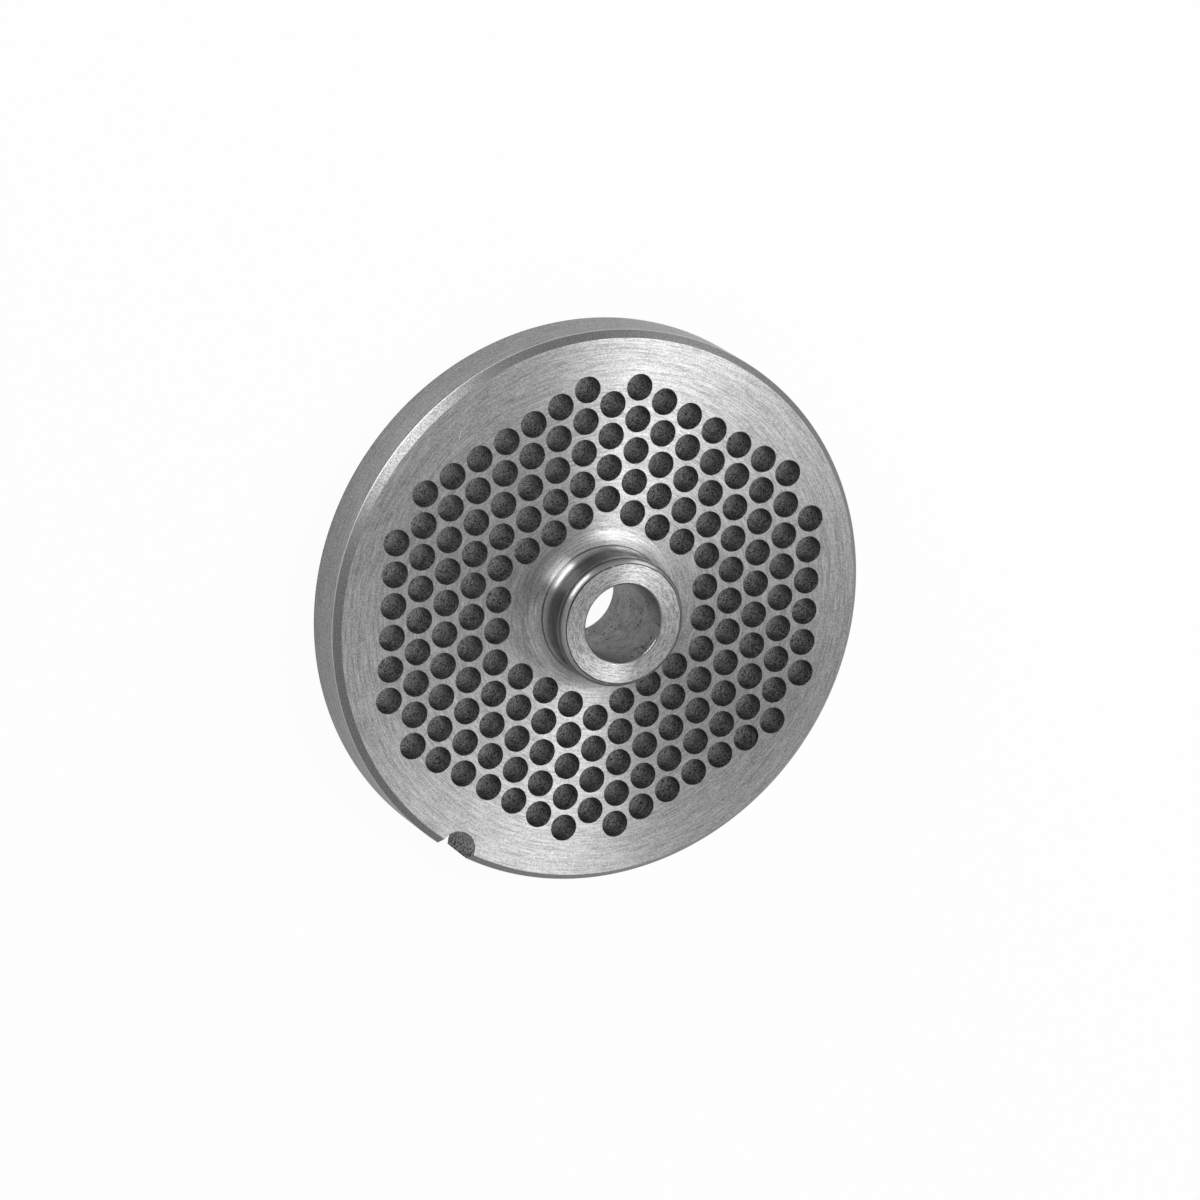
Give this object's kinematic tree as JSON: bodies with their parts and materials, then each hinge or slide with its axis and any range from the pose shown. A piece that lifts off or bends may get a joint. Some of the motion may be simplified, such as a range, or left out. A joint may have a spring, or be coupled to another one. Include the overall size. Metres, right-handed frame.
{
  "type": "meat grinder plate",
  "caption": "Flat round steel grinder plate with a field of drilled holes, a bored central hub on its front face and a half-round locating notch in its rim.",
  "frame": {"origin": "centre of the bore on the flat back face", "axes": "+Z along the bore axis, from the back face towards the hub's end; the rows of holes run along Y and the rim notch is at 239.4 degrees round from +X"},
  "size_m": [0.0984, 0.0984, 0.0207],
  "materials": {
    "steel": "ground and turned bare steel, satin, with darker drilled walls"
  },
  "bodies": {
    "root": {"grinder_plate": "steel"}
  },
  "joints": []
}
